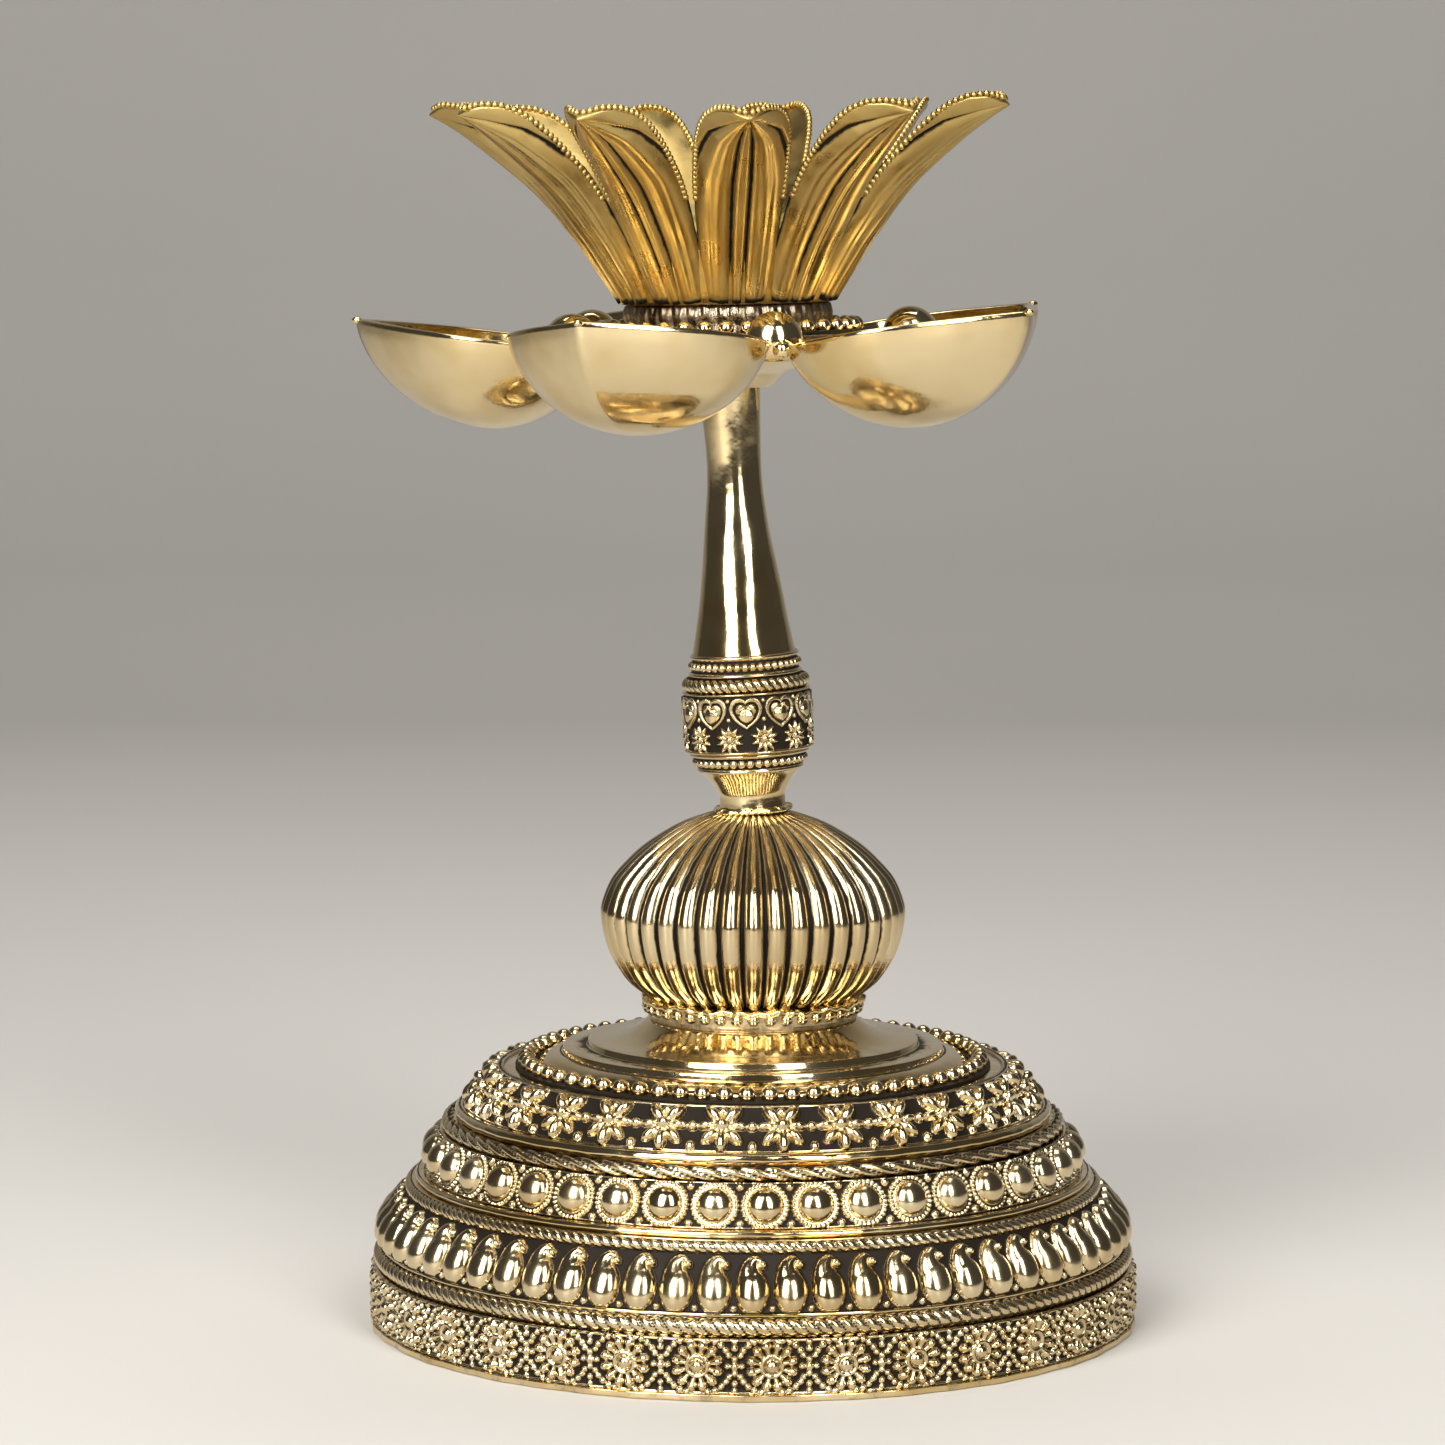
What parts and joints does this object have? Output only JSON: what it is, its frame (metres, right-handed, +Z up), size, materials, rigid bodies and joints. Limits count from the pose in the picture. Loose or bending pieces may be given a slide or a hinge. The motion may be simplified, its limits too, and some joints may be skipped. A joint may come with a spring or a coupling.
{
  "type": "standing oil lamp",
  "caption": "Standing oil lamp in cast brass: ornamented stepped base, fluted bulb, leaning baluster stem, turning tray of leaf-shaped wick bowls and a screw-on lotus top.",
  "frame": {"origin": "centre of the foot, on the surface the lamp stands on", "axes": "+Z straight up from the foot; the stem leans 3.2 degrees towards -X from the neck up, and the tray and lotus lean 1.1 degrees towards -X; the lamp is seen from -Y with +X to the right"},
  "size_m": [0.1154, 0.114, 0.1813],
  "materials": {
    "polished_brass": "polished",
    "antiqued_brass": "antiqued, dark in the recesses",
    "golden_cast_brass": "cast, satin",
    "dark_patina_brass": "dark patina",
    "braze_metal": "rough braze"
  },
  "bodies": {
    "stand": {"base_shell": "polished_brass", "rosette_band": "antiqued_brass", "foot_rope": "antiqued_brass", "lower_ledge_ring": "polished_brass", "paisley_band": "antiqued_brass", "middle_rope": "antiqued_brass", "middle_ledge_ring": "polished_brass", "boss_band": "antiqued_brass", "upper_twist": "antiqued_brass", "upper_ledge_ring": "polished_brass", "star_flower_band": "antiqued_brass", "shoulder_bead_ring": "antiqued_brass", "bulb_foot_collar": "antiqued_brass", "bulb_foot_braze": "braze_metal", "fluted_bulb": "antiqued_brass", "neck_braze": "braze_metal", "stem": "polished_brass", "knop_lower_bead_ring": "antiqued_brass", "knop_belt": "antiqued_brass", "knop_rope": "antiqued_brass", "knop_upper_bead_ring": "antiqued_brass"},
    "tray": {"tray_hub": "polished_brass", "tray_bead_ring": "polished_brass", "oil_bowl_1": "polished_brass", "oil_bowl_2": "polished_brass", "oil_bowl_3": "polished_brass", "oil_bowl_4": "polished_brass", "oil_bowl_5": "polished_brass", "dome_boss_1": "polished_brass", "dome_boss_2": "polished_brass", "dome_boss_3": "polished_brass", "dome_boss_4": "polished_brass", "dome_boss_5": "polished_brass"},
    "washer": {"lotus_washer": "dark_patina_brass"},
    "lotus": {"lotus_cup": "golden_cast_brass", "lotus_stud": "antiqued_brass", "lotus_petal_1": "golden_cast_brass", "lotus_petal_2": "golden_cast_brass", "lotus_petal_3": "golden_cast_brass", "lotus_petal_4": "golden_cast_brass", "lotus_petal_5": "golden_cast_brass", "lotus_petal_6": "golden_cast_brass", "lotus_petal_7": "golden_cast_brass", "lotus_petal_8": "golden_cast_brass", "lotus_petal_9": "golden_cast_brass", "lotus_petal_10": "golden_cast_brass", "lotus_petal_11": "golden_cast_brass"}
  },
  "joints": [
    {"name": "tray_turn", "type": "hinge", "parent": "stand", "child": "tray", "pos_m": [-0.00349, 0, 0.138], "axis": [-0.0192, 0, 0.9998], "continuous": true},
    {"name": "lotus_lift", "type": "slide", "parent": "stand", "child": "washer", "axis": [-0.0192, 0, 0.9998], "range_m": [0, 0.0063]},
    {"name": "lotus_turn", "type": "hinge", "parent": "washer", "child": "lotus", "pos_m": [-0.00349, 0, 0.138], "axis": [-0.0192, 0, 0.9998], "range_deg": [0, 1800]}
  ],
  "couplings": [
    {"joint": "lotus_lift", "follows": "lotus_turn", "m_per_rad": 0.00019894}
  ]
}
